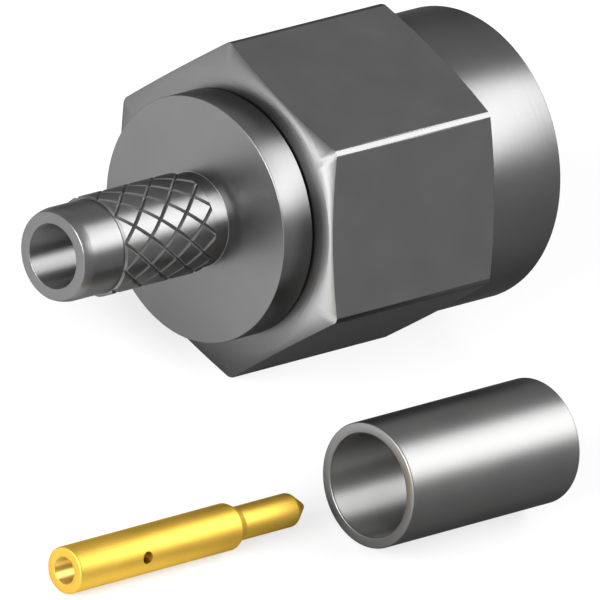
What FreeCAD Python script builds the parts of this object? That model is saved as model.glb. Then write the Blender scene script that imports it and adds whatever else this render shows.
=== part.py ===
import FreeCAD, Part
import math
import os
import Sketcher

# Coaxial crimp plug for a thin cable, with its loose contact and its loose crimp sleeve.
# Millimetres, +Z up, +X along the plug's axis towards the mating end.
# The origin is the middle of the hexagon flat that the plug lies on.
# Profiles of the plug are drawn from the rear face of its coupling nut, on the axis.

os.makedirs("parts", exist_ok=True)
doc = FreeCAD.newDocument("CrimpPlug")

# Driving sizes: name, value, meaning
SIZES = [
    ("hex_across_flats", 8.0, "coupling nut, wrench size"),
    ("hex_corner_diameter", 9.14, "round bar that the six flats are milled from"),
    ("hex_length", 6.1, "rear face of the nut to the front shoulder of the hexagon"),
    ("nut_length", 8.64, "rear face to front rim"),
    ("nose_diameter", 7.94, "plain round front of the nut"),
    ("nose_edge", 0.05, "broken outer edge of the front rim"),
    ("rear_land_diameter", 7.7, "flat circle inside the rear chamfer"),
    ("hex_chamfer_angle", 15.0, "both chamfers of the hexagon, degrees from the face"),
    ("thread_minor_diameter", 5.66, "crest bore of the 1/4-36 coupling thread"),
    ("thread_length", 3.0, "threaded wall behind the mouth"),
    ("mouth_diameter", 6.45, "wide end of the mouth's 45 degree countersink"),
    ("relief_clearance", 0.175, "radial, gasket in the turned-out space behind the thread"),
    ("relief_lead", 0.1, "start of the relief to the hub front, clear of the gasket"),
    ("running_clearance", 0.05, "radial, hub in the nut's rear bore"),
    ("nut_end_gap", 0.05, "axial, flange to the nut's rear face"),
    ("flange_diameter", 6.66, "disc behind the nut"),
    ("flange_thickness", 1.07, "disc behind the nut"),
    ("flange_edge", 0.04, "broken edge of the disc"),
    ("hub_diameter", 5.4, "journal that the nut turns on"),
    ("hub_length", 3.0, "nut's rear face to the front shoulder of the hub"),
    ("outer_contact_wall", 0.22, "mating sleeve round the bead's seat"),
    ("outer_contact_length", 2.2, "hub shoulder to the mating face"),
    ("insulator_diameter", 4.12, "dielectric bead"),
    ("insulator_clearance", 0.01, "radial, bead in its seat"),
    ("insulator_seat", 0.3, "nut's rear face to the shoulder behind the bead"),
    ("insulator_lead", 0.15, "rear countersink of the bead's hole"),
    ("stem_diameter", 2.54, "crimp stem, smooth parts"),
    ("stem_length", 5.25, "flange to the stem's end"),
    ("stem_bore_diameter", 1.74, "clears the cable's dielectric"),
    ("stem_end_radius", 0.34, "rounded outer edge of the stem's end"),
    ("stem_root_radius", 0.06, "turned corner between stem and flange"),
    ("knurl_diameter", 2.71, "over the tops of the diamonds"),
    ("knurl_length", 3.36, "knurled band along the stem"),
    ("knurl_neck", 0.5, "smooth neck between the band and the flange"),
    ("knurl_depth", 0.05, "groove depth"),
    ("knurl_groove_width", 0.11, "groove width at the tops"),
    ("knurl_rows", 11.0, "diamonds round the stem"),
    ("knurl_half_steps", 7.0, "half diamonds along the band"),
    ("knurl_roll", 119.5, "one row of diamonds, degrees from +Y towards +Z"),
    ("clip_thickness", 0.5, "retaining ring, along the axis"),
    ("clip_inner_diameter", 4.8, "retaining ring"),
    ("clip_outer_diameter", 6.04, "retaining ring"),
    ("clip_gap_angle", 22.0, "opening of the C, degrees"),
    ("clip_centre", 1.8, "nut's rear face to the middle of the ring"),
    ("clip_clearance", 0.05, "round the ring in both grooves"),
    ("gasket_thickness", 0.9, "silicone washer in front of the hub"),
    ("gasket_clearance", 0.02, "radial, gasket over the mating sleeve"),
    ("gasket_outer_diameter", 6.1, "fills the relief, clear of the nut"),
    ("sleeve_outer_diameter", 3.4, "crimp sleeve"),
    ("sleeve_inner_diameter", 2.8, "crimp sleeve"),
    ("sleeve_length", 6.25, "crimp sleeve"),
    ("sleeve_edge", 0.04, "broken edges of the sleeve"),
    ("contact_diameter", 1.27, "barrel of the centre contact"),
    ("contact_clearance", 0.01, "radial, barrel in the bead's hole"),
    ("contact_edge", 0.06, "broken rear edge of the barrel"),
    ("barrel_length", 5.93, "rear end to the shoulder"),
    ("shoulder_length", 0.33, "cone from barrel to mating pin"),
    ("tip_diameter", 0.914, "mating pin"),
    ("contact_length", 8.76, "overall"),
    ("point_length", 0.52, "cone at the tip"),
    ("point_diameter", 0.16, "blunt end of the cone"),
    ("wire_bore_diameter", 0.72, "hole for the cable's centre wire"),
    ("wire_bore_depth", 3.3, "straight part of that hole"),
    ("wire_bore_cone", 0.17, "drill point beyond the straight part"),
    ("sight_hole_diameter", 0.34, "side hole that shows the wire and takes solder"),
    ("sight_hole_distance", 2.45, "rear end to the side hole"),
    ("sight_hole_roll", 62.0, "side hole's turn from straight up, degrees towards -Y"),
    ("sleeve_rear_x", -3.79, "rear end of the loose sleeve"),
    ("sleeve_y", -8.33, "axis of the loose sleeve"),
    ("contact_rear_x", -13.81, "rear end of the loose contact"),
    ("contact_y", -7.57, "axis of the loose contact"),
]

sheet = doc.addObject("Spreadsheet::Sheet", "sizes")
for row, (alias, number, meaning) in enumerate(SIZES, start=1):
    sheet.set("A%d" % row, meaning)
    sheet.set("B%d" % row, str(number))
    sheet.setAlias("B%d" % row, alias)
doc.recompute()

ORIGIN = FreeCAD.Vector(0, 0, 0)
AXIS_X = FreeCAD.Vector(1, 0, 0)
AXIS_Y = FreeCAD.Vector(0, 1, 0)
AXIS_Z = FreeCAD.Vector(0, 0, 1)


def size(alias):
    """Number held by the sheet under this name."""
    return float(sheet.get(alias))


def origin_plane(body, role):
    """One of the body's own three planes."""
    return next(item for item in body.Origin.OriginFeatures if item.Role == role)


def bind_point(sketch, geometry, end, x_rule, r_rule):
    """Hold one end of a sketch line at two sheet rules."""
    for kind, rule in (("DistanceX", x_rule), ("DistanceY", r_rule)):
        index = sketch.addConstraint(Sketcher.Constraint(kind, -1, 1, geometry, end, 1.0))
        sketch.setExpression("Constraints[%d]" % index, rule)


def turned_profile(body, name, corners):
    """Closed outline on the XZ plane from (distance along the axis, radius) rules."""
    sketch = body.newObject("Sketcher::SketchObject", name)
    sketch.AttachmentSupport = [(origin_plane(body, "XZ_Plane"), "")]
    sketch.MapMode = "FlatFace"
    count = len(corners)
    start = [FreeCAD.Vector(math.cos(2 * math.pi * i / count), math.sin(2 * math.pi * i / count) + 2, 0)
             for i in range(count)]
    for i in range(count):
        sketch.addGeometry(Part.LineSegment(start[i], start[(i + 1) % count]), False)
    for i in range(count):
        sketch.addConstraint(Sketcher.Constraint("Coincident", i, 2, (i + 1) % count, 1))
    for i, (x_rule, r_rule) in enumerate(corners):
        bind_point(sketch, i, 1, x_rule, r_rule)
    return sketch


def turned_body(name, corners, sweep_rule="360"):
    """Body made by turning an outline about the X axis."""
    body = doc.addObject("PartDesign::Body", name)
    sketch = turned_profile(body, name + "_outline", corners)
    turning = body.newObject("PartDesign::Revolution", name + "_turning")
    turning.Profile = sketch
    turning.ReferenceAxis = (sketch, ["H_Axis"])
    turning.setExpression("Angle", sweep_rule)
    body.Tip = turning
    doc.recompute()
    return body


def circle_edge(shape, along_x, radius):
    """Name of the full circle about the X axis at this place and radius."""
    for number, edge in enumerate(shape.Edges, start=1):
        curve = edge.Curve
        if isinstance(curve, Part.Circle) and abs(curve.Center.x - along_x) < 1e-4 \
                and abs(curve.Radius - radius) < 1e-4:
            return "Edge%d" % number
    raise ValueError("no circle of radius %.3f at x %.3f" % (radius, along_x))


def round_edge(body, name, along_x, radius, rule):
    """Fillet on one turned edge of the body."""
    base = body.Tip
    edge = circle_edge(base.Shape, along_x, radius)
    fillet = body.newObject("PartDesign::Fillet", name)
    fillet.Base = (base, [edge])
    fillet.setExpression("Radius", rule)
    body.Tip = fillet
    doc.recompute()
    return fillet


def place(item, x_rule, y_rule, z_rule):
    """Seat a finished piece in the row's frame."""
    item.setExpression(".Placement.Base.x", x_rule)
    item.setExpression(".Placement.Base.y", y_rule)
    item.setExpression(".Placement.Base.z", z_rule)


def place_on_plug(item):
    """Seat a piece whose profile starts at the nut's rear face."""
    place(item, "-sizes.hex_length / 2", "0", "sizes.hex_across_flats / 2")


# Coupling nut: turned from bar with its bores, then six flats
def coupling_nut():
    chamfer = "tan(sizes.hex_chamfer_angle * 1 deg)"
    rear_depth = "(sizes.hex_corner_diameter - sizes.rear_land_diameter) / 2 * " + chamfer
    front_depth = "(sizes.hex_corner_diameter - sizes.nose_diameter) / 2 * " + chamfer
    mouth_depth = "(sizes.mouth_diameter - sizes.thread_minor_diameter) / 2"
    thread_start = "sizes.nut_length - " + mouth_depth + " - sizes.thread_length"
    relief_start = "sizes.hub_length - sizes.relief_lead"
    relief_radius = "sizes.gasket_outer_diameter / 2 + sizes.relief_clearance"
    rear_bore = "sizes.hub_diameter / 2 + sizes.running_clearance"
    groove_half = "(sizes.clip_thickness / 2 + 2 * sizes.clip_clearance)"
    groove_floor = "sizes.clip_outer_diameter / 2 + 2 * sizes.clip_clearance"
    blank = turned_body("nut_blank", [
        ("0", rear_bore),
        ("0", "sizes.rear_land_diameter / 2"),
        (rear_depth, "sizes.hex_corner_diameter / 2"),
        ("sizes.hex_length - " + front_depth, "sizes.hex_corner_diameter / 2"),
        ("sizes.hex_length", "sizes.nose_diameter / 2"),
        ("sizes.nut_length - sizes.nose_edge", "sizes.nose_diameter / 2"),
        ("sizes.nut_length", "sizes.nose_diameter / 2 - sizes.nose_edge"),
        ("sizes.nut_length", "sizes.mouth_diameter / 2"),
        ("sizes.nut_length - " + mouth_depth, "sizes.thread_minor_diameter / 2"),
        (thread_start, "sizes.thread_minor_diameter / 2"),
        (thread_start, relief_radius),
        (relief_start, relief_radius),
        (relief_start, rear_bore),
        ("sizes.clip_centre + " + groove_half, rear_bore),
        ("sizes.clip_centre + " + groove_half, groove_floor),
        ("sizes.clip_centre - " + groove_half, groove_floor),
        ("sizes.clip_centre - " + groove_half, rear_bore),
    ])
    hexagon = doc.addObject("Part::Prism", "nut_hexagon")
    hexagon.Polygon = 6
    hexagon.setExpression("Circumradius", "sizes.hex_across_flats / sqrt(3)")
    hexagon.setExpression("Height", "sizes.nut_length")
    flats_up = FreeCAD.Rotation(AXIS_Y, 90) * FreeCAD.Rotation(AXIS_Z, 30)
    hexagon.Placement = FreeCAD.Placement(ORIGIN, flats_up)
    nut = doc.addObject("Part::Common", "coupling_nut")
    nut.Base = blank
    nut.Tool = hexagon
    place_on_plug(nut)
    return nut


# Diamond knurl: two hands of V grooves leave a net of flat-topped diamonds round the band
def knurl_solid(start_x, core_radius):
    rows = int(size("knurl_rows"))
    steps = int(size("knurl_half_steps"))
    top = size("knurl_diameter") / 2
    valley = top - size("knurl_depth")
    step_x = size("knurl_length") / steps
    step_angle = math.pi / rows
    first_angle = math.radians(size("knurl_roll"))
    half_wide = top * step_angle
    inset = size("knurl_groove_width") / 2 * math.hypot(step_x, half_wide) / (step_x * half_wide)
    reach = 1 - inset

    def node(column, line, radius):
        angle = first_angle + line * step_angle
        return FreeCAD.Vector(start_x + column * step_x, radius * math.cos(angle), radius * math.sin(angle))

    def facet(*points):
        return Part.Face(Part.makePolygon(list(points) + [points[0]]))

    faces = []
    for column in range(steps + 1):
        for line in range(column % 2, 2 * rows, 2):
            middle = node(column, line, top)
            sides = {1: column < steps, -1: column > 0}
            for along, there in sides.items():
                if not there:
                    continue
                crest = node(column + along * reach, line, top)
                crossing = node(column + along, line, valley)
                for turn in (1, -1):
                    flank = node(column, line + turn * reach, top)
                    foot = node(column, line + turn, valley)
                    faces.append(facet(middle, crest, flank))
                    faces.append(facet(crest, crossing, foot))
                    faces.append(facet(crest, foot, flank))
    for column in (0, steps):
        ring = []
        for line in range(column % 2, 2 * rows, 2):
            ring += [node(column, line - 1, valley), node(column, line - reach, top),
                     node(column, line, top), node(column, line + reach, top)]
        faces.append(Part.Face(Part.makePolygon(ring + [ring[0]])))
    shell = Part.makeShell(faces)
    shell.sewShape()
    band = Part.makeSolid(Part.Shell(shell.Faces))
    core = Part.makeCylinder(core_radius, size("knurl_length") + 2, FreeCAD.Vector(start_x - 1, 0, 0), AXIS_X)
    return band.cut(core)


# Plug body: flange, journal for the nut, mating sleeve and crimp stem in one turning
def connector_body():
    flange_front = "-sizes.nut_end_gap"
    flange_rear = "-sizes.nut_end_gap - sizes.flange_thickness"
    stem_end = flange_rear + " - sizes.stem_length"
    band_front = flange_rear + " - sizes.knurl_neck"
    band_rear = band_front + " - sizes.knurl_length"
    band_overlap = "sizes.knurl_neck / 4"
    band_core = "(sizes.stem_diameter / 4 + sizes.stem_bore_diameter / 4)"
    groove_half = "(sizes.clip_thickness / 2 + sizes.clip_clearance)"
    groove_floor = "sizes.clip_inner_diameter / 2 - sizes.clip_clearance"
    mating_face = "sizes.hub_length + sizes.outer_contact_length"
    seat_radius = "sizes.insulator_diameter / 2 + sizes.insulator_clearance"
    outer_contact = seat_radius + " + sizes.outer_contact_wall"
    turning = turned_body("body_turning", [
        (stem_end, "sizes.stem_bore_diameter / 2"),
        (stem_end, "sizes.stem_diameter / 2"),
        (band_rear + " + " + band_overlap, "sizes.stem_diameter / 2"),
        (band_rear + " + " + band_overlap, band_core),
        (band_front + " - " + band_overlap, band_core),
        (band_front + " - " + band_overlap, "sizes.stem_diameter / 2"),
        (flange_rear, "sizes.stem_diameter / 2"),
        (flange_rear, "sizes.flange_diameter / 2 - sizes.flange_edge"),
        (flange_rear + " + sizes.flange_edge", "sizes.flange_diameter / 2"),
        (flange_front, "sizes.flange_diameter / 2"),
        (flange_front, "sizes.hub_diameter / 2"),
        ("sizes.clip_centre - " + groove_half, "sizes.hub_diameter / 2"),
        ("sizes.clip_centre - " + groove_half, groove_floor),
        ("sizes.clip_centre + " + groove_half, groove_floor),
        ("sizes.clip_centre + " + groove_half, "sizes.hub_diameter / 2"),
        ("sizes.hub_length", "sizes.hub_diameter / 2"),
        ("sizes.hub_length", outer_contact),
        (mating_face, outer_contact),
        (mating_face, seat_radius),
        ("sizes.insulator_seat", seat_radius),
        ("sizes.insulator_seat", "sizes.stem_bore_diameter / 2"),
    ])
    flange_rear_x = -size("nut_end_gap") - size("flange_thickness")
    stem_radius = size("stem_diameter") / 2
    round_edge(turning, "stem_end_round", flange_rear_x - size("stem_length"), stem_radius,
               "sizes.stem_end_radius")
    round_edge(turning, "stem_root_round", flange_rear_x, stem_radius, "sizes.stem_root_radius")
    band = doc.addObject("Part::Feature", "knurled_band")
    wall_middle = (size("stem_diameter") + size("stem_bore_diameter")) / 4
    wall_inner = (wall_middle + size("stem_bore_diameter") / 2) / 2
    band.Shape = knurl_solid(flange_rear_x - size("knurl_neck") - size("knurl_length"), wall_inner)
    piece = doc.addObject("Part::Fuse", "connector_body")
    piece.Base = turning
    piece.Tool = band
    place_on_plug(piece)
    return piece


# Dielectric bead: flush with the mating face, open for the centre contact
def insulator():
    mating_face = "sizes.hub_length + sizes.outer_contact_length"
    hole = "sizes.contact_diameter / 2 + sizes.contact_clearance"
    piece = turned_body("insulator", [
        ("sizes.insulator_seat", hole + " + sizes.insulator_lead"),
        ("sizes.insulator_seat", "sizes.insulator_diameter / 2"),
        (mating_face, "sizes.insulator_diameter / 2"),
        (mating_face, hole),
        ("sizes.insulator_seat + sizes.insulator_lead", hole),
    ])
    place_on_plug(piece)
    return piece


# Retaining ring: a C of spring metal, half in the hub's groove and half in the nut's
def retaining_ring():
    rear = "sizes.clip_centre - sizes.clip_thickness / 2"
    front = "sizes.clip_centre + sizes.clip_thickness / 2"
    piece = turned_body("retaining_ring", [
        (rear, "sizes.clip_inner_diameter / 2"),
        (rear, "sizes.clip_outer_diameter / 2"),
        (front, "sizes.clip_outer_diameter / 2"),
        (front, "sizes.clip_inner_diameter / 2"),
    ], "360 - sizes.clip_gap_angle")
    place_on_plug(piece)
    return piece


# Gasket: soft washer that seals against the jack's face
def gasket():
    front = "sizes.hub_length + sizes.gasket_thickness"
    outer_contact = "sizes.insulator_diameter / 2 + sizes.insulator_clearance + sizes.outer_contact_wall"
    hole = outer_contact + " + sizes.gasket_clearance"
    piece = turned_body("gasket", [
        ("sizes.hub_length", hole),
        ("sizes.hub_length", "sizes.gasket_outer_diameter / 2"),
        (front, "sizes.gasket_outer_diameter / 2"),
        (front, hole),
    ])
    place_on_plug(piece)
    return piece


# Crimp sleeve: plain tube, lying beside the plug
def crimp_sleeve():
    outer = "sizes.sleeve_outer_diameter / 2"
    inner = "sizes.sleeve_inner_diameter / 2"
    piece = turned_body("crimp_sleeve", [
        ("0", inner + " + sizes.sleeve_edge"),
        ("0", outer + " - sizes.sleeve_edge"),
        ("sizes.sleeve_edge", outer),
        ("sizes.sleeve_length - sizes.sleeve_edge", outer),
        ("sizes.sleeve_length", outer + " - sizes.sleeve_edge"),
        ("sizes.sleeve_length", inner + " + sizes.sleeve_edge"),
        ("sizes.sleeve_length - sizes.sleeve_edge", inner),
        ("sizes.sleeve_edge", inner),
    ])
    place(piece, "sizes.sleeve_rear_x", "sizes.sleeve_y", outer)
    return piece


# Centre contact: drilled barrel with a side hole, stepped down to the mating pin
def contact_pin():
    barrel = "sizes.contact_diameter / 2"
    tip = "sizes.tip_diameter / 2"
    bore = "sizes.wire_bore_diameter / 2"
    piece = turned_body("contact_pin", [
        ("0", bore),
        ("0", barrel + " - sizes.contact_edge"),
        ("sizes.contact_edge", barrel),
        ("sizes.barrel_length", barrel),
        ("sizes.barrel_length + sizes.shoulder_length", tip),
        ("sizes.contact_length - sizes.point_length", tip),
        ("sizes.contact_length", "sizes.point_diameter / 2"),
        ("sizes.contact_length", "0"),
        ("sizes.wire_bore_depth + sizes.wire_bore_cone", "0"),
        ("sizes.wire_bore_depth", bore),
    ])
    solid_volume = piece.Shape.Volume
    circle = piece.newObject("Sketcher::SketchObject", "sight_hole_outline")
    circle.AttachmentSupport = [(origin_plane(piece, "XY_Plane"), "")]
    circle.MapMode = "FlatFace"
    start_radius = size("sight_hole_diameter") / 2
    centre = FreeCAD.Vector(size("sight_hole_distance"), 0, 0)
    circle.addGeometry(Part.Circle(centre, AXIS_Z, start_radius), False)
    circle.addConstraint(Sketcher.Constraint("PointOnObject", 0, 3, -1))
    distance = circle.addConstraint(Sketcher.Constraint("DistanceX", -1, 1, 0, 3, centre.x))
    circle.setExpression("Constraints[%d]" % distance, "sizes.sight_hole_distance")
    radius = circle.addConstraint(Sketcher.Constraint("Radius", 0, start_radius))
    circle.setExpression("Constraints[%d]" % radius, "sizes.sight_hole_diameter / 2")
    doc.recompute()
    drilling = piece.newObject("PartDesign::Pocket", "sight_hole")
    drilling.Profile = circle
    drilling.Reversed = True
    drilling.setExpression("Length", "sizes.contact_diameter")
    piece.Tip = drilling
    doc.recompute()
    if not piece.Shape.Volume < solid_volume:
        raise ValueError("the side hole cuts nothing")
    piece.Placement = FreeCAD.Placement(ORIGIN, FreeCAD.Rotation(AXIS_X, size("sight_hole_roll")))
    place(piece, "sizes.contact_rear_x", "sizes.contact_y", barrel)
    return piece


PIECES = [
    coupling_nut(),
    connector_body(),
    insulator(),
    retaining_ring(),
    gasket(),
    crimp_sleeve(),
    contact_pin(),
]
doc.recompute()

for item in doc.Objects:
    if "Invalid" in item.State or "Error" in item.State:
        raise ValueError("%s failed: %s" % (item.Name, item.State))

for piece in PIECES:
    piece.Label = piece.Name
    shape = piece.Shape
    if shape.isNull() or not shape.isValid() or len(shape.Solids) != 1:
        raise ValueError("%s is not one valid solid" % piece.Label)
    shape.exportStep("parts/%s.step" % piece.Label)
    box = shape.optimalBoundingBox()
    print("%-15s volume %8.3f mm3  faces %4d  x %7.3f to %7.3f  y %7.3f to %7.3f  z %6.3f to %6.3f" % (
        piece.Label, shape.Volume, len(shape.Faces),
        box.XMin, box.XMax, box.YMin, box.YMax, box.ZMin, box.ZMax))
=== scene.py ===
# %% [markdown]
# # A crimp plug for thin coaxial cable
#
# Three loose pieces lie on a table: a plug with a hexagon coupling nut, the gold contact that is
# soldered to the cable's wire, and the tube that is crimped over the cable's braid. All of them
# are turned parts, so nearly every surface here comes from an outline spun round an axis. The
# cells go from the camera and the light to the helpers, the finishes, and then piece by piece.

# %% Frame and imports
import bmesh
import bpy
import math
from mathutils import Matrix, Vector


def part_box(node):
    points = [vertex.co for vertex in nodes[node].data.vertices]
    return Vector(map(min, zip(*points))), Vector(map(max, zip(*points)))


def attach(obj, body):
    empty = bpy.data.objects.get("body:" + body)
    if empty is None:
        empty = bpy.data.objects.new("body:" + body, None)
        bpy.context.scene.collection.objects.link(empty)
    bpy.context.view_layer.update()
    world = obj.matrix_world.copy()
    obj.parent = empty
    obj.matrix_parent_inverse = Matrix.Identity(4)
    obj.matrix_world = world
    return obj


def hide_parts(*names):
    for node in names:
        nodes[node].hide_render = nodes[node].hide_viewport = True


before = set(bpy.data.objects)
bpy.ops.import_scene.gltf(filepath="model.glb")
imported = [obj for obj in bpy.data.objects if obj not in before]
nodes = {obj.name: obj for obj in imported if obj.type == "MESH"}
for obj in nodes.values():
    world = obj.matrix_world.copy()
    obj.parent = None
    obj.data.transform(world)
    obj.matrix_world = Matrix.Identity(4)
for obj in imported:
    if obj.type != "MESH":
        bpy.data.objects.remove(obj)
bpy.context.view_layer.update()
print("loaded", sorted(nodes))

# %% [markdown]
# ## Camera
#
# The pieces are only millimetres long and the picture has almost no perspective, so the camera
# stands far off with a very long lens. Its three axes were found from the corners of the
# hexagon and the ellipses of the rims, which lie where they do for one viewing angle only.

# %% Camera
MM = 0.001
NUT_REAR_X = -3.05
AXIS_HEIGHT = 4.0
LENS = 1500.0
SENSOR = 36.0
PIXELS = 600
PIXELS_PER_MM = 37.9

right = Vector((0.7063, -0.6131, 0.3540)).normalized()
up = Vector((0.1862, 0.6433, 0.7426))
up = (up - right * up.dot(right)).normalized()
back = right.cross(up)
aim = Vector((NUT_REAR_X, 0, AXIS_HEIGHT)) + right * 1.986 - up * 2.329
distance = LENS / SENSOR * PIXELS / PIXELS_PER_MM

camera_data = bpy.data.cameras.new("photo_camera")
camera_data.lens = LENS
camera_data.sensor_width = SENSOR
camera_data.clip_start = 0.1
camera_data.clip_end = 20.0
camera = bpy.data.objects.new("photo_camera", camera_data)
bpy.context.scene.collection.objects.link(camera)
turn = Matrix((right, up, back)).transposed().to_4x4()
camera.matrix_world = Matrix.Translation((aim + back * distance) * MM) @ turn
bpy.context.scene.camera = camera
print("camera", round(distance), "mm away, looking along", [round(-c, 3) for c in back])

# %% [markdown]
# ## Helpers for nodes and colours
#
# Colours are written as they look on a screen and turned to the linear values that a renderer
# adds up. One helper adds a node with its settings and links, so that a finish reads as a list.


# %% Colour and node helpers
def colour(code):
    """Linear colour of an sRGB hex code such as 8A8A8A."""
    channels = [int(code[i:i + 2], 16) / 255 for i in (0, 2, 4)]
    linear = [c / 12.92 if c <= 0.04045 else ((c + 0.055) / 1.055) ** 2.4 for c in channels]
    return (*linear, 1.0)


def add_node(tree, kind, settings=None, **inputs):
    """New node; an input is a value, or an output socket that is linked to it."""
    node = tree.nodes.new(kind)
    for name, value in (settings or {}).items():
        setattr(node, name, value)
    for name, value in inputs.items():
        socket = node.inputs[int(name[1:])] if name[0] == "_" else node.inputs[name.replace("_", " ")]
        if isinstance(value, bpy.types.NodeSocket):
            tree.links.new(value, socket)
        else:
            socket.default_value = value
    return node


print("mid grey 808080 is", round(colour("808080")[0], 3), "in linear light")

# %% [markdown]
# ## Table, world and lamps
#
# Metal has no colour of its own to speak of: it shows the room. So each place that a piece
# mirrors towards the camera is made for it. Faces that look back along the plug mirror the table
# behind it, which is pale, and the undersides mirror the table before the mouth, which is darker.
# The paper is therefore painted: darker before the mouth, a painted shade that the undersides
# mirror, and glowing behind the plug for mirrored rays only, a painted reflection for the faces
# that look back. For the camera it is lifted to white all over and keeps the shadows.

# %% Table
FLOOR_HALF = 3.0
GRADE_SLOPE = (1.0, -0.5, 0.0)
GRADE_FROM, GRADE_TO = -0.007, 0.0
# painted reflection: strength of a glow that only mirrored rays see, behind the plug and before the mouth
PAINTED_REFLECTION_BEHIND, PAINTED_REFLECTION_BEFORE = 0.65, 0.05
PALE_SEEN, DARK_SEEN = 0.5, 0.74
bm = bmesh.new()
bmesh.ops.create_grid(bm, x_segments=1, y_segments=1, size=FLOOR_HALF)
bmesh.ops.translate(bm, vec=(0, 0, -0.00001), verts=bm.verts)
floor_mesh = bpy.data.meshes.new("table_top")
bm.to_mesh(floor_mesh)
bm.free()
floor = bpy.data.objects.new("table_top", floor_mesh)
bpy.context.scene.collection.objects.link(floor)

paper = bpy.data.materials.new("table_paper_painted_shade_and_reflection")
paper.use_nodes = True
tree = paper.node_tree
tree.nodes.clear()
where = add_node(tree, "ShaderNodeTexCoord")
across = add_node(tree, "ShaderNodeVectorMath", {"operation": "DOT_PRODUCT"},
                  _0=where.outputs["Object"], _1=GRADE_SLOPE)
fade = add_node(tree, "ShaderNodeMapRange", {"interpolation_type": "SMOOTHSTEP"},
                Value=across.outputs["Value"], From_Min=GRADE_FROM, From_Max=GRADE_TO)
# painted shade: the table's colour darkens from B4B4B4 behind the plug to 808080 before the mouth
tint = add_node(tree, "ShaderNodeMix", {"data_type": "RGBA"}, Factor=fade.outputs[0])
tint.inputs[6].default_value = colour("B4B4B4")
tint.inputs[7].default_value = colour("808080")
matt = add_node(tree, "ShaderNodeBsdfDiffuse", Color=tint.outputs[2])
path = add_node(tree, "ShaderNodeLightPath")
lift = add_node(tree, "ShaderNodeMapRange", Value=fade.outputs[0], To_Min=PALE_SEEN, To_Max=DARK_SEEN)
seen = add_node(tree, "ShaderNodeMath", {"operation": "MULTIPLY"},
                _0=lift.outputs[0], _1=path.outputs["Is Camera Ray"])
mirrored = add_node(tree, "ShaderNodeMath", {"operation": "MAXIMUM"},
                    _0=path.outputs["Is Glossy Ray"], _1=path.outputs["Is Transmission Ray"])
# painted reflection: the glow seen by mirrored rays only, strong behind the plug, nearly none before the
# mouth
rear = add_node(tree, "ShaderNodeMapRange", Value=fade.outputs[0],
                To_Min=PAINTED_REFLECTION_BEHIND, To_Max=PAINTED_REFLECTION_BEFORE)
white = add_node(tree, "ShaderNodeMath", {"operation": "MULTIPLY_ADD"},
                 _0=mirrored.outputs[0], _1=rear.outputs[0], _2=seen.outputs[0])
glow = add_node(tree, "ShaderNodeEmission", Color=colour("FFFFFF"), Strength=white.outputs[0])
both = add_node(tree, "ShaderNodeAddShader", _0=matt.outputs[0], _1=glow.outputs[0])
add_node(tree, "ShaderNodeOutputMaterial", Surface=both.outputs[0])
floor_mesh.materials.append(paper)
print("table", 2 * FLOOR_HALF, "m square")

# %% [markdown]
# The studio round the table is grey, lighter at half height, where the flats of the nut mirror
# it, and again overhead. Only the horizon is white, so that a level view has a white background.

# %% World
world = bpy.data.worlds.new("grey_studio")
bpy.context.scene.world = world
world.use_nodes = True
tree = world.node_tree
tree.nodes.clear()
where = add_node(tree, "ShaderNodeTexCoord")
split = add_node(tree, "ShaderNodeSeparateXYZ", Vector=where.outputs["Generated"])
rise = add_node(tree, "ShaderNodeValToRGB", Fac=split.outputs["Z"])
levels = rise.color_ramp.elements
levels[0].color = (1, 1, 1, 1)
levels[1].color = (0.75, 0.75, 0.75, 1)
for height, level in ((0.02, 1.0), (0.035, 0.43), (0.45, 0.63), (0.8, 0.40)):
    levels.new(height).color = (level, level, level, 1)
print("studio levels", [(round(stop.position, 3), round(stop.color[0], 2)) for stop in levels])
sky = add_node(tree, "ShaderNodeBackground", Color=rise.outputs[0], Strength=1.0)
add_node(tree, "ShaderNodeOutputWorld", Surface=sky.outputs[0])

# %% [markdown]
# The streak softbox stands beyond the mouth of the plug, high up, where a camera ray that meets
# the upper side of a tube is thrown. It draws the long white streak that the eye reads as round
# and smooth. The rear softbox does the same inside the bores. Two cards lie on the table behind
# the nut, on the curve where the curved shoulders of its hexagon mirror the table.


# %% Softboxes
def softbox(name, place, width, height, radiance, faces=(-0.004, -0.003, 0.002)):
    """Area lamp at a place, turned to face a point; radiance 1 is as bright as white card."""
    lamp = bpy.data.lights.new(name, "AREA")
    lamp.shape = "RECTANGLE"
    lamp.size, lamp.size_y = width, height
    lamp.energy = radiance * math.pi * width * height
    item = bpy.data.objects.new(name, lamp)
    bpy.context.scene.collection.objects.link(item)
    away = Vector(place) - Vector(faces)
    item.matrix_world = Matrix.Translation(place) @ away.to_track_quat("Z", "Y").to_matrix().to_4x4()
    item.visible_camera = False
    print(name, "at", [round(c, 3) for c in item.matrix_world.translation])
    return item


streak_light = softbox("streak_softbox", (0.167, -0.075, 0.172), 0.23, 0.12, 7.0)
bore_light = softbox("rear_softbox", (-0.319, -0.022, 0.153), 0.20, 0.08, 36.0)
near_card = softbox("near_card", (-0.0135, -0.0038, 0.0005), 0.013, 0.004, 2.8,
                    faces=(-0.0135, -0.0038, 0.05))
far_card = softbox("far_card", (-0.035, 0.003, 0.0005), 0.030, 0.013, 8.5, faces=(-0.035, 0.003, 0.05))

bpy.context.scene.view_settings.view_transform = "Standard"


# %% [markdown]
# ## Helpers for turned pieces
#
# A lathe part is fully told by half of its section. Corners are written as distance along the
# axis, radius and, where an edge is broken, how far it is rounded. A vertex bevel rounds the
# outline before it is spun, which is much cleaner than to bevel the finished mesh, because the
# rounding then has the same steps all the way round.


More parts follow.
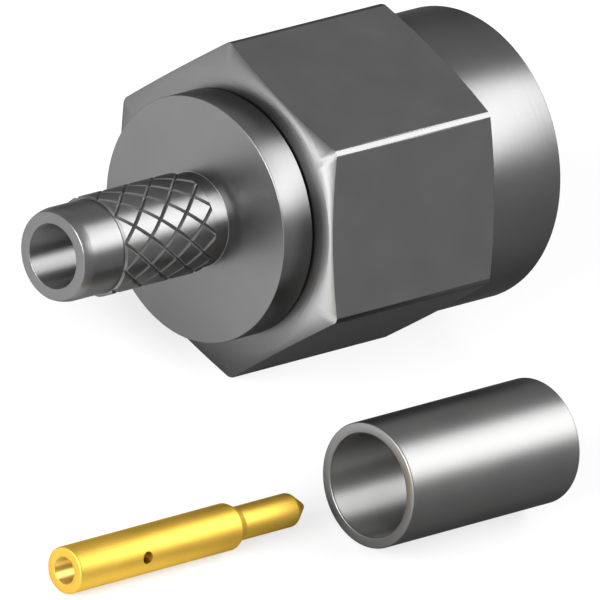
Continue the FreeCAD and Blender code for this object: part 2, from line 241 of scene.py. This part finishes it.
# %% Outline, spin and finish
def outline(corners, steps=3):
    """Closed outline as ordered (distance, radius) points, in millimetres."""
    bm = bmesh.new()
    made = [bm.verts.new((c[0], 0, c[1])) for c in corners]
    bm.faces.new(made)
    for vert, corner in zip(made, corners):
        if len(corner) > 2:
            bmesh.ops.bevel(bm, geom=[vert], offset=corner[2], affect="VERTICES",
                            segments=steps, profile=0.5, material=-1)
    bm.faces.ensure_lookup_table()
    points = [(v.co.x, v.co.z) for v in bm.faces[0].verts]
    bm.free()
    return points


def spin_outline(bm, points, steps):
    """Turn a closed outline about the X axis into a shell."""
    ring = [bm.verts.new((x, 0, r)) for x, r in points]
    rim = [bm.edges.new(pair) for pair in zip(ring, ring[1:] + ring[:1])]
    bmesh.ops.spin(bm, geom=ring + rim, cent=(0, 0, 0), axis=(1, 0, 0), dvec=(0, 0, 0),
                   angle=2 * math.pi, steps=steps, use_merge=True, use_duplicate=False)
    bmesh.ops.remove_doubles(bm, verts=bm.verts, dist=1e-5)


def mark_bore(bm, radius, number):
    """Give the faces inside a bore, no further out than radius, the finish of this number."""
    for face in bm.faces:
        if max(math.hypot(v.co.y, v.co.z) for v in face.verts) < radius:
            face.material_index = number


def mark_ends(bm, number):
    """Give the faces that look along the axis the finish of this number."""
    for face in bm.faces:
        face.normal_update()
        if abs(face.normal.x) > 0.85:
            face.material_index = number


def finish_piece(bm, name, seat, body, node, finishes):
    """Mesh object from millimetres at the axis to metres at its seat, on its body."""
    bmesh.ops.scale(bm, vec=(MM, MM, MM), verts=bm.verts)
    bmesh.ops.translate(bm, vec=Vector(seat) * MM, verts=bm.verts)
    bmesh.ops.recalc_face_normals(bm, faces=bm.faces)
    mesh = bpy.data.meshes.new(name)
    bm.to_mesh(mesh)
    open_edges = sum(not edge.is_manifold for edge in bm.edges)
    bm.free()
    for finish in finishes:
        mesh.materials.append(finish)
    mesh.shade_smooth()
    mesh.set_sharp_from_angle(angle=math.radians(40))
    piece = bpy.data.objects.new(name, mesh)
    bpy.context.scene.collection.objects.link(piece)
    even = piece.modifiers.new("even_normals", "WEIGHTED_NORMAL")
    even.keep_sharp = True
    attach(piece, body)
    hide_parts(node)
    low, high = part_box(node)
    own = [v.co for v in mesh.vertices]
    slack = [max(abs(min(c[i] for c in own) - low[i]), abs(max(c[i] for c in own) - high[i]))
             for i in range(3)]
    print("%s: %d faces, %d open edges, box within %s mm of the solid" % (
        name, len(mesh.polygons), open_edges, [round(s / MM, 3) for s in slack]))
    return piece


# %% [markdown]
# ## Turned and milled steel
#
# The nut and the body are stainless steel, turned on a lathe and passivated. A lathe tool
# leaves rings that are a few hundredths of a millimetre apart, so the pattern depends only on
# the distance along the axis and the distance from it. The rings are too fine to show one by
# one, but they spread a highlight across them: the Tangent points along the axis, and the
# Anisotropic value says how much wider the highlight is that way. Turned sides have some of it,
# reamed bores the most. End faces were faced off to a finer finish and have none. On the flats
# the cutter ran along the nut, so there the marks are straight.


# %% Metal finishes
def metal(name, base, light, rough, rough_spread, axis, marks, strength, edge=0.35, stretch=0.0):
    """Metal with tool marks: rings about an axis, or straight lines where axis is None.

    base and light are the darkest and lightest tone, rough the mean roughness, marks how many
    lines there are to a metre, edge the tint at a grazing angle, and stretch the anisotropy.
    """
    finish = bpy.data.materials.new(name)
    finish.use_nodes = True
    tree = finish.node_tree
    tree.nodes.clear()
    where = add_node(tree, "ShaderNodeTexCoord")
    if axis is None:
        lines = add_node(tree, "ShaderNodeMapping", Vector=where.outputs["Object"])
        lines.inputs["Scale"].default_value = (marks * 0.02, marks, marks)
        pattern = lines.outputs[0]
    else:
        centred = add_node(tree, "ShaderNodeMapping", Vector=where.outputs["Object"])
        centred.inputs["Location"].default_value = (0, -axis[0] * MM, -axis[1] * MM)
        split = add_node(tree, "ShaderNodeSeparateXYZ", Vector=centred.outputs[0])
        flat = add_node(tree, "ShaderNodeCombineXYZ", Y=split.outputs["Y"], Z=split.outputs["Z"])
        reach = add_node(tree, "ShaderNodeVectorMath", {"operation": "LENGTH"}, _0=flat.outputs[0])
        rings = add_node(tree, "ShaderNodeCombineXYZ", X=split.outputs["X"], Y=reach.outputs["Value"])
        wide = add_node(tree, "ShaderNodeVectorMath", {"operation": "SCALE"}, _0=rings.outputs[0])
        wide.inputs["Scale"].default_value = marks
        pattern = wide.outputs[0]
    cut = add_node(tree, "ShaderNodeTexNoise", Vector=pattern, Scale=1.0, Detail=2.0)
    cloud = add_node(tree, "ShaderNodeTexNoise", Vector=where.outputs["Object"], Scale=900.0, Detail=3.0)
    tone = add_node(tree, "ShaderNodeMix", {"data_type": "RGBA"}, Factor=cloud.outputs["Fac"])
    tone.inputs[6].default_value = colour(base)
    tone.inputs[7].default_value = colour(light)
    gloss = add_node(tree, "ShaderNodeMapRange", Value=cloud.outputs["Fac"])
    gloss.inputs["To Min"].default_value = rough - rough_spread
    gloss.inputs["To Max"].default_value = rough + rough_spread
    bump = add_node(tree, "ShaderNodeBump", Height=cut.outputs["Fac"], Strength=strength)
    bump.inputs["Distance"].default_value = 0.00001
    shader = add_node(tree, "ShaderNodeBsdfPrincipled", Metallic=1.0, Base_Color=tone.outputs[2],
                      Roughness=gloss.outputs[0], Normal=bump.outputs[0])
    shader.inputs["Specular Tint"].default_value = (edge, edge, edge, 1.0)
    if axis is not None and stretch:
        surface = add_node(tree, "ShaderNodeNewGeometry")
        facing = add_node(tree, "ShaderNodeVectorTransform", {
            "vector_type": "NORMAL", "convert_from": "WORLD", "convert_to": "OBJECT"},
            Vector=surface.outputs["Normal"])
        groove = add_node(tree, "ShaderNodeVectorMath", {"operation": "CROSS_PRODUCT"}, _1=flat.outputs[0])
        groove.inputs[0].default_value = (1, 0, 0)
        across = add_node(tree, "ShaderNodeVectorMath", {"operation": "CROSS_PRODUCT"},
                          _0=groove.outputs[0], _1=facing.outputs[0])
        spread = add_node(tree, "ShaderNodeVectorTransform", {
            "vector_type": "VECTOR", "convert_from": "OBJECT", "convert_to": "WORLD"},
            Vector=across.outputs[0])
        tree.links.new(spread.outputs[0], shader.inputs["Tangent"])
        shader.inputs["Anisotropic"].default_value = stretch
    add_node(tree, "ShaderNodeOutputMaterial", Surface=shader.outputs[0])
    return finish


PLUG_AXIS = (0.0, AXIS_HEIGHT)
STEEL = ("747474", "7C7C7C")
turned_steel = metal("turned_stainless_steel", *STEEL, 0.35, 0.04, PLUG_AXIS, 14000.0, 0.25, stretch=0.5)
faced_steel = metal("faced_stainless_steel", *STEEL, 0.32, 0.04, PLUG_AXIS, 14000.0, 0.25)
milled_steel = metal("milled_stainless_steel", *STEEL, 0.32, 0.04, None, 9000.0, 0.15)
# painted light: the bores are a lighter grey (828282) than the outside steel, to lift the shade inside
# them
bore_painted_lighter = metal("reamed_bore_painted_lighter", "828282", "8A8A8A", 0.42, 0.02, PLUG_AXIS, 9000.0, 0.1,
                    edge=0.5, stretch=1.0)
print("steel finishes made")

# %% [markdown]
# ## Coupling nut
#
# The nut starts as a round bar: outside, nose, bores and the groove for its retaining ring are
# turned in one clamping. Six cuts with a plane then make the hexagon. Because both ends of the
# bar are chamfered first, each cut leaves the curved shoulders that every real nut has. They
# come out by themselves when the same order is kept here.

# %% Coupling nut
HEX_ACROSS = 8.0
HEX_CORNER_RADIUS = 4.57
HEX_LENGTH = 6.1
NUT_LENGTH = 8.64
NOSE_RADIUS = 3.97
REAR_LAND_RADIUS = 3.85
REAR_BORE_RADIUS = 2.75
CHAMFER = math.tan(math.radians(15))
THREAD_MINOR = 2.83
THREAD_MAJOR = 3.175
MOUTH_RADIUS = 3.225
THREAD_REAR = 5.245
RELIEF_REAR = 2.9
CLIP_GROOVE = (1.45, 2.15, 3.12)
NUT_STEPS = 144

bm = bmesh.new()
spin_outline(bm, outline([
    (0, REAR_BORE_RADIUS, 0.05),
    (0, REAR_LAND_RADIUS),
    ((HEX_CORNER_RADIUS - REAR_LAND_RADIUS) * CHAMFER, HEX_CORNER_RADIUS),
    (HEX_LENGTH - (HEX_CORNER_RADIUS - NOSE_RADIUS) * CHAMFER, HEX_CORNER_RADIUS),
    (HEX_LENGTH, NOSE_RADIUS),
    (NUT_LENGTH, NOSE_RADIUS, 0.05),
    (NUT_LENGTH, MOUTH_RADIUS, 0.03),
    (NUT_LENGTH - MOUTH_RADIUS + THREAD_MAJOR, THREAD_MAJOR),
    (THREAD_REAR, THREAD_MAJOR),
    (THREAD_REAR, MOUTH_RADIUS),
    (RELIEF_REAR, MOUTH_RADIUS),
    (RELIEF_REAR, REAR_BORE_RADIUS),
    (CLIP_GROOVE[1], REAR_BORE_RADIUS),
    (CLIP_GROOVE[1], CLIP_GROOVE[2]),
    (CLIP_GROOVE[0], CLIP_GROOVE[2]),
    (CLIP_GROOVE[0], REAR_BORE_RADIUS),
]), NUT_STEPS)
flat_rims = []
for side in range(6):
    angle = math.radians(60 * side)
    outward = Vector((0, math.sin(angle), math.cos(angle)))
    everything = bm.verts[:] + bm.edges[:] + bm.faces[:]
    cut = bmesh.ops.bisect_plane(bm, geom=everything, dist=1e-4, plane_co=outward * HEX_ACROSS / 2,
                                 plane_no=outward, clear_outer=True)
    rim = [item for item in cut["geom_cut"] if isinstance(item, bmesh.types.BMEdge)]
    filled = bmesh.ops.contextual_create(bm, geom=rim)["faces"]
    for face in filled:
        face.material_index = 1
    print("flat", side, "filled with", len(filled), "face of", len(rim), "edges")
edges = [e for e in bm.edges if len(e.link_faces) == 2
         and e.link_faces[0].material_index != e.link_faces[1].material_index]
bmesh.ops.bevel(bm, geom=edges, offset=0.025, offset_type="OFFSET", affect="EDGES", segments=2,
                profile=0.5, material=-1, clamp_overlap=True)

# %% [markdown]
# The coupling thread has 36 turns to the inch. It is one ridge that winds along the wall, so a
# small closed section is spun with a step forward at each angle. The ridge sinks into the wall
# at both ends, and at the mouth the countersink cuts its crests off at 45 degrees.

# %% Coupling thread
PITCH = 25.4 / 36
TURN_STEPS = 72
TURNS = 3.85
CREST = PITCH / 4
FLANK = (THREAD_MAJOR - THREAD_MINOR) * math.tan(math.radians(30))
SINK = 0.03

start = THREAD_REAR + 0.02
ridge_bm = bmesh.new()
section = [(0, THREAD_MAJOR + SINK), (FLANK, THREAD_MINOR), (FLANK + CREST, THREAD_MINOR),
           (2 * FLANK + CREST, THREAD_MAJOR + SINK)]
ring = [ridge_bm.verts.new((start + x, 0, r)) for x, r in section]
rim = [ridge_bm.edges.new(pair) for pair in zip(ring, ring[1:] + ring[:1])]
cap = ridge_bm.faces.new(ring)
steps = int(TURNS * TURN_STEPS)
bmesh.ops.spin(ridge_bm, geom=ring + rim + [cap], cent=(0, 0, 0), axis=(1, 0, 0),
               dvec=(PITCH / TURN_STEPS, 0, 0), angle=2 * math.pi * TURNS, steps=steps,
               use_merge=False, use_duplicate=False)
for v in ridge_bm.verts:
    radius = math.hypot(v.co.y, v.co.z)
    cone = THREAD_MINOR + v.co.x - (NUT_LENGTH - (MOUTH_RADIUS - THREAD_MINOR))
    wanted = min(max(radius, cone), THREAD_MAJOR + SINK)
    v.co.y *= wanted / radius
    v.co.z *= wanted / radius
print("thread ridge from", round(min(v.co.x for v in ridge_bm.verts), 3), "to",
      round(max(v.co.x for v in ridge_bm.verts), 3), "with", len(ridge_bm.faces), "faces")
ridge_mesh = bpy.data.meshes.new("ridge")
ridge_bm.to_mesh(ridge_mesh)
ridge_bm.free()
bm.from_mesh(ridge_mesh)
bpy.data.meshes.remove(ridge_mesh)
mark_ends(bm, 2)
nut = finish_piece(bm, "hexagon_nut", (NUT_REAR_X, 0, AXIS_HEIGHT), "nut", "coupling_nut",
                   [turned_steel, milled_steel, faced_steel])

# %% [markdown]
# ## Body with its knurled stem
#
# The braid of the cable is pushed over the stem and a tube is crimped on top, so the stem is
# knurled to hold it: two hands of V grooves leave rows of flat-topped diamonds. A ring of quads
# already holds that pattern. If every second vertex is a place where two grooves cross, the
# diagonals between them are the grooves, and the other vertices are the middles of diamonds.

# %% Knurled band
KNURL_ROWS = 11
KNURL_STEPS = 7
KNURL_RADIUS = 1.355
KNURL_DEPTH = 0.05
KNURL_GROOVE = 0.11
KNURL_REAR = -4.98
KNURL_FRONT = -1.62
KNURL_TURN = math.radians(119.5)
DIAMOND_CUTS = 7

bm = bmesh.new()
column = (KNURL_FRONT - KNURL_REAR) / KNURL_STEPS
line = math.pi / KNURL_ROWS
first = [bm.verts.new((KNURL_REAR + i * column, KNURL_RADIUS * math.cos(KNURL_TURN),
                       KNURL_RADIUS * math.sin(KNURL_TURN))) for i in range(KNURL_STEPS + 1)]
rim = [bm.edges.new(pair) for pair in zip(first, first[1:])]
bmesh.ops.spin(bm, geom=first + rim, cent=(0, 0, 0), axis=(1, 0, 0), dvec=(0, 0, 0),
               angle=2 * math.pi, steps=2 * KNURL_ROWS, use_merge=True, use_duplicate=False)


def is_crossing(vert):
    """True where two grooves of the knurl cross."""
    along = round((vert.co.x - KNURL_REAR) / column)
    around = round((math.atan2(vert.co.z, vert.co.y) - KNURL_TURN) / line)
    return (along + around) % 2 == 1


crossings = [v for v in bm.verts if is_crossing(v)]
middles = [v for v in bm.verts if not is_crossing(v)]
bmesh.ops.connect_verts(bm, verts=crossings)
bmesh.ops.dissolve_verts(bm, verts=middles)
tops = bm.faces[:]
print(len(crossings), "crossings,", len(tops), "diamonds with",
      sorted({len(f.verts) for f in tops}), "corners")
bmesh.ops.inset_individual(bm, faces=tops, thickness=KNURL_GROOVE / 2, depth=0, use_even_offset=True)
low = bm.verts.layers.float.new("low")
on_top = {v for f in tops for v in f.verts}
for v in bm.verts:
    v[low] = 0.0 if v in on_top else 1.0
bmesh.ops.subdivide_edges(bm, edges=bm.edges[:], cuts=DIAMOND_CUTS, use_grid_fill=True)
values = sorted({round(v[low], 2) for v in bm.verts})
print("knurl has", len(bm.faces), "faces; heights", values[:4], "to", values[-1])
for v in bm.verts:
    scale = (KNURL_RADIUS - KNURL_DEPTH * v[low]) / math.hypot(v.co.y, v.co.z)
    v.co.y *= scale
    v.co.z *= scale

# %% [markdown]
# The rest of the body grows out of the two open rims of the band. Each step extrudes a rim and
# sets it to the next point of the outline, as if a lathe tool went round the whole section:
# neck, flange, journal, mating sleeve, then back through the bores to the end of the stem. The
# two rims meet there and are bridged, so the body is one closed skin without a seam.

# %% Body outline
STEM_RADIUS = 1.27
STEM_BORE = 0.87
STEM_REAR = -6.37
FLANGE_REAR = -1.12
FLANGE_FRONT = -0.05
FLANGE_RADIUS = 3.33
HUB_RADIUS = 2.7
HUB_FRONT = 3.0
CLIP_FLOOR = 2.35
CLIP_REAR, CLIP_FRONT = 1.5, 2.1
SLEEVE_RADIUS = 2.29
MATING_FACE = 5.2
SEAT_RADIUS = 2.07
SEAT_REAR = 0.3

section = outline([
    (KNURL_FRONT, KNURL_RADIUS - KNURL_DEPTH),
    (KNURL_FRONT, STEM_RADIUS),
    (FLANGE_REAR, STEM_RADIUS, 0.02),
    (FLANGE_REAR, FLANGE_RADIUS, 0.03),
    (FLANGE_FRONT, FLANGE_RADIUS, 0.03),
    (FLANGE_FRONT, HUB_RADIUS),
    (CLIP_REAR, HUB_RADIUS),
    (CLIP_REAR, CLIP_FLOOR),
    (CLIP_FRONT, CLIP_FLOOR),
    (CLIP_FRONT, HUB_RADIUS),
    (HUB_FRONT, HUB_RADIUS, 0.04),
    (HUB_FRONT, SLEEVE_RADIUS),
    (MATING_FACE, SLEEVE_RADIUS, 0.05),
    (MATING_FACE, SEAT_RADIUS, 0.03),
    (SEAT_REAR, SEAT_RADIUS),
    (SEAT_REAR, STEM_BORE),
    (STEM_REAR, STEM_BORE, 0.03),
    (STEM_REAR, STEM_RADIUS - 0.08, 0.03),
    (STEM_REAR + 0.2, STEM_RADIUS, 0.15),
    (KNURL_REAR, STEM_RADIUS),
    (KNURL_REAR, KNURL_RADIUS - KNURL_DEPTH),
], steps=5)
distances = [math.dist(p, (KNURL_FRONT, KNURL_RADIUS - KNURL_DEPTH)) for p in section]
at = distances.index(min(distances))
section = section[at:] + section[:at]
if math.dist(section[1], (KNURL_FRONT, STEM_RADIUS)) > 1e-4:
    section = section[:1] + section[:0:-1]


def draw_rim(bm, rim, points):
    """Extrude an open rim through the points of an outline; returns the last rim."""
    for x, radius in points:
        grown = bmesh.ops.extrude_edge_only(bm, edges=rim)["geom"]
        fresh = {item for item in grown if isinstance(item, bmesh.types.BMVert)}
        rim = [item for item in grown if isinstance(item, bmesh.types.BMEdge)
               and all(v in fresh for v in item.verts)]
        for v in fresh:
            scale = radius / math.hypot(v.co.y, v.co.z)
            v.co = (x, v.co.y * scale, v.co.z * scale)
    return rim


open_rim = [e for e in bm.edges if e.is_boundary]
middle = (KNURL_FRONT + KNURL_REAR) / 2
front_rim = [e for e in open_rim if e.verts[0].co.x > middle]
rear_rim = [e for e in open_rim if e.verts[0].co.x < middle]
print("rims of", len(front_rim), "and", len(rear_rim), "edges,", len(section), "points in the outline")
last_front = draw_rim(bm, front_rim, section[1:-2])
last_rear = draw_rim(bm, rear_rim, section[-2:-1])
bmesh.ops.bridge_loops(bm, edges=last_front + last_rear)
mark_bore(bm, STEM_BORE + 0.001, 1)
mark_ends(bm, 2)
barrel = finish_piece(bm, "plug_barrel", (NUT_REAR_X, 0, AXIS_HEIGHT), "plug_body", "connector_body",
                      [turned_steel, bore_painted_lighter, faced_steel])

# %% [markdown]
# ## Dielectric bead
#
# The bead that holds the contact in the middle is PTFE, turned from white rod. It is soft and
# waxy: light goes a little way in, so its edges look bright and its shadows are never black.

# %% Bead
ptfe = bpy.data.materials.new("turned_ptfe")
ptfe.use_nodes = True
tree = ptfe.node_tree
tree.nodes.clear()
where = add_node(tree, "ShaderNodeTexCoord")
cloud = add_node(tree, "ShaderNodeTexNoise", Vector=where.outputs["Object"], Scale=1500.0, Detail=3.0)
tone = add_node(tree, "ShaderNodeMix", {"data_type": "RGBA"}, Factor=cloud.outputs["Fac"])
tone.inputs[6].default_value = colour("EFEEE8")
tone.inputs[7].default_value = colour("F7F6F2")
bump = add_node(tree, "ShaderNodeBump", Height=cloud.outputs["Fac"], Strength=0.2)
bump.inputs["Distance"].default_value = 0.00001
shader = add_node(tree, "ShaderNodeBsdfPrincipled", Base_Color=tone.outputs[2], Roughness=0.45,
                  IOR=1.35, Normal=bump.outputs[0])
shader.inputs["Subsurface Weight"].default_value = 0.3
shader.inputs["Subsurface Radius"].default_value = (0.0004, 0.0004, 0.0004)
shader.inputs["Subsurface Scale"].default_value = 1.0
add_node(tree, "ShaderNodeOutputMaterial", Surface=shader.outputs[0])

BEAD_RADIUS = 2.06
BEAD_HOLE = 0.645
bm = bmesh.new()
spin_outline(bm, outline([
    (SEAT_REAR, BEAD_HOLE + 0.15),
    (SEAT_REAR, BEAD_RADIUS),
    (MATING_FACE, BEAD_RADIUS, 0.04),
    (MATING_FACE, BEAD_HOLE, 0.04),
    (SEAT_REAR + 0.15, BEAD_HOLE),
]), 96)
bead = finish_piece(bm, "dielectric_bead", (NUT_REAR_X, 0, AXIS_HEIGHT), "plug_body", "insulator",
                    [ptfe])

# %% [markdown]
# ## Gasket and retaining ring
#
# A washer of silicone rubber seals against the jack's face. It is punched from sheet, so it has
# square edges that the rubber itself rounds a little, and a dusty matt skin. The retaining ring
# sits closed in by nut and body and can't be seen, so its CAD shape stays, in spring bronze.

# %% Gasket and ring
rubber = bpy.data.materials.new("silicone_rubber")
rubber.use_nodes = True
tree = rubber.node_tree
tree.nodes.clear()
where = add_node(tree, "ShaderNodeTexCoord")
grain = add_node(tree, "ShaderNodeTexNoise", Vector=where.outputs["Object"], Scale=6000.0, Detail=4.0)
tone = add_node(tree, "ShaderNodeMix", {"data_type": "RGBA"}, Factor=grain.outputs["Fac"])
tone.inputs[6].default_value = colour("A8442F")
tone.inputs[7].default_value = colour("BC5640")
bump = add_node(tree, "ShaderNodeBump", Height=grain.outputs["Fac"], Strength=0.3)
bump.inputs["Distance"].default_value = 0.00002
shader = add_node(tree, "ShaderNodeBsdfPrincipled", Base_Color=tone.outputs[2], Roughness=0.6,
                  Normal=bump.outputs[0])
add_node(tree, "ShaderNodeOutputMaterial", Surface=shader.outputs[0])

GASKET_INNER, GASKET_OUTER, GASKET_THICK = 2.31, 3.05, 0.9
bm = bmesh.new()
spin_outline(bm, outline([
    (HUB_FRONT, GASKET_INNER, 0.08),
    (HUB_FRONT, GASKET_OUTER, 0.1),
    (HUB_FRONT + GASKET_THICK, GASKET_OUTER, 0.1),
    (HUB_FRONT + GASKET_THICK, GASKET_INNER, 0.08),
], steps=4), 96)
gasket = finish_piece(bm, "rubber_gasket", (NUT_REAR_X, 0, AXIS_HEIGHT), "plug_body", "gasket",
                      [rubber])

bronze = metal("spring_bronze", "B98A4E", "C79A5C", 0.35, 0.05, PLUG_AXIS, 14000.0, 0.2)
ring_node = nodes["retaining_ring"]
ring_node.data.materials.clear()
ring_node.data.materials.append(bronze)
print("retaining ring keeps its solid with", len(ring_node.data.polygons), "faces")

# %% [markdown]
# ## Crimp sleeve
#
# The sleeve is cut from drawn tube and tumbled, so it is the smoothest piece and its edges are
# only just broken. It is nickel plated, which gives much the same grey as the steel. Its bore is
# given a lighter grey, painted light that lifts the shade inside the tube, and the saw leaves the
# cut ends a little lighter.

# %% Crimp sleeve
SLEEVE_SEAT = (-3.79, -8.33, 1.7)
TUBE_OUTER = 1.7
TUBE_INNER = 1.4
TUBE_LENGTH = 6.25
cut_end = metal("cut_nickel_end", "8A8A8A", "929292", 0.42, 0.03, SLEEVE_SEAT[1:], 6000.0, 0.2)
nickel = metal("tumbled_nickel_plate", "757575", "7D7D7C", 0.365, 0.03, SLEEVE_SEAT[1:], 6000.0, 0.12)
# painted light: the bore is a lighter grey (9C9C9C) than the outside plating, to lift the shade inside the
# tube
tube_bore_painted_lighter = metal("nickel_bore_painted_lighter", "9C9C9C", "A4A4A3", 0.48, 0.02, SLEEVE_SEAT[1:], 6000.0, 0.1,
                   edge=0.5, stretch=1.0)
bm = bmesh.new()
spin_outline(bm, outline([
    (0, TUBE_INNER, 0.04),
    (0, TUBE_OUTER, 0.05),
    (TUBE_LENGTH, TUBE_OUTER, 0.05),
    (TUBE_LENGTH, TUBE_INNER, 0.04),
]), 128)
mark_bore(bm, TUBE_INNER + 0.001, 1)
mark_ends(bm, 2)
tube = finish_piece(bm, "crimp_tube", SLEEVE_SEAT, "plug_body", "crimp_sleeve",
                    [nickel, tube_bore_painted_lighter, cut_end])

# %% [markdown]
# ## Contact
#
# The contact is turned from brass rod and gold plated. Its barrel is drilled for the wire, and
# a small hole from the side meets that bore, so that one can see the wire and feed solder in.
# The side hole is cut with a Boolean, because the curve where two bores meet is hard to draw.

# %% Contact
CONTACT_SEAT = (-13.81, -7.57, 0.635)
BARREL_RADIUS = 0.635
TIP_RADIUS = 0.457
BARREL_END, TIP_START, CONE_START, TIP_END = 5.93, 6.26, 8.24, 8.76
WIRE_BORE = 0.36
BORE_END, DRILL_POINT = 3.3, 3.47
SIDE_HOLE_X = 2.45
SIDE_HOLE_RADIUS = 0.17
SIDE_HOLE_ROLL = math.radians(62)
gold = metal("gold_plate", "D6AF46", "E2BB54", 0.5, 0.04, CONTACT_SEAT[1:], 9000.0, 0.15)
# painted light: the bore is a paler gold (F2D67E) than the outside plating, to lift the shade inside the
# wire bore
gold_bore_painted_lighter = metal("gold_plate_in_bore_painted_lighter", "F2D67E", "F8DE8C", 0.45, 0.04, CONTACT_SEAT[1:], 9000.0, 0.1,
                  edge=1.0, stretch=1.0)

cutter_bm = bmesh.new()
bmesh.ops.create_cone(cutter_bm, cap_ends=True, segments=48, radius1=SIDE_HOLE_RADIUS,
                      radius2=SIDE_HOLE_RADIUS, depth=1.2)
bmesh.ops.translate(cutter_bm, vec=(SIDE_HOLE_X, 0, 0.6), verts=cutter_bm.verts)
bmesh.ops.rotate(cutter_bm, cent=(0, 0, 0), matrix=Matrix.Rotation(SIDE_HOLE_ROLL, 3, "X"),
                 verts=cutter_bm.verts)
cutter_mesh = bpy.data.meshes.new("drill")
cutter_bm.to_mesh(cutter_mesh)
cutter_bm.free()
cutter = bpy.data.objects.new("drill", cutter_mesh)
bpy.context.scene.collection.objects.link(cutter)

bm = bmesh.new()
spin_outline(bm, outline([
    (0, WIRE_BORE, 0.02),
    (0, BARREL_RADIUS, 0.06),
    (BARREL_END, BARREL_RADIUS, 0.03),
    (TIP_START, TIP_RADIUS, 0.03),
    (CONE_START, TIP_RADIUS, 0.06),
    (TIP_END, 0.08, 0.03),
    (TIP_END, 0),
    (DRILL_POINT, 0),
    (BORE_END, WIRE_BORE),
]), 96)
blank_mesh = bpy.data.meshes.new("blank")
bmesh.ops.recalc_face_normals(bm, faces=bm.faces)
bm.to_mesh(blank_mesh)
bm.free()
blank = bpy.data.objects.new("blank", blank_mesh)
bpy.context.scene.collection.objects.link(blank)
drilling = blank.modifiers.new("side_hole", "BOOLEAN")
drilling.operation = "DIFFERENCE"
drilling.solver = "EXACT"
drilling.object = cutter
depsgraph = bpy.context.evaluated_depsgraph_get()
bm = bmesh.new()
bm.from_object(blank, depsgraph)
for item in (blank, cutter):
    bpy.data.objects.remove(item)
mark_bore(bm, WIRE_BORE + 0.001, 1)
contact = finish_piece(bm, "gold_contact", CONTACT_SEAT, "plug_body", "contact_pin",
                       [gold, gold_bore_painted_lighter])

# %% [markdown]
# ## Flags on the lamps
#
# The rear lamp is there for the bores and is strong. On the broad flats of the nut it would be a
# glare, so it is kept off the nut, as a photographer does with a black flag. The two cards on
# the table are there for the curved shoulders of the nut only. Light linking does the same: a
# collection says which pieces a lamp lights or leaves out. Nut and body also let the streak
# softbox through to the rim of the flange and the neck behind it, which would be dark otherwise.

# %% Flags on the lamps
for lamp, state in ((bore_light, "EXCLUDE"), (near_card, "INCLUDE"), (far_card, "INCLUDE")):
    flagged = bpy.data.collections.new(lamp.name + "_flag")
    flagged.objects.link(nut)
    flagged.collection_objects[0].light_linking.link_state = state
    lamp.light_linking.receiver_collection = flagged
see_through = bpy.data.collections.new("streak_softbox_passes")
for number, piece in enumerate((nut, barrel)):
    see_through.objects.link(piece)
    see_through.collection_objects[number].light_linking.link_state = "EXCLUDE"
streak_light.light_linking.blocker_collection = see_through
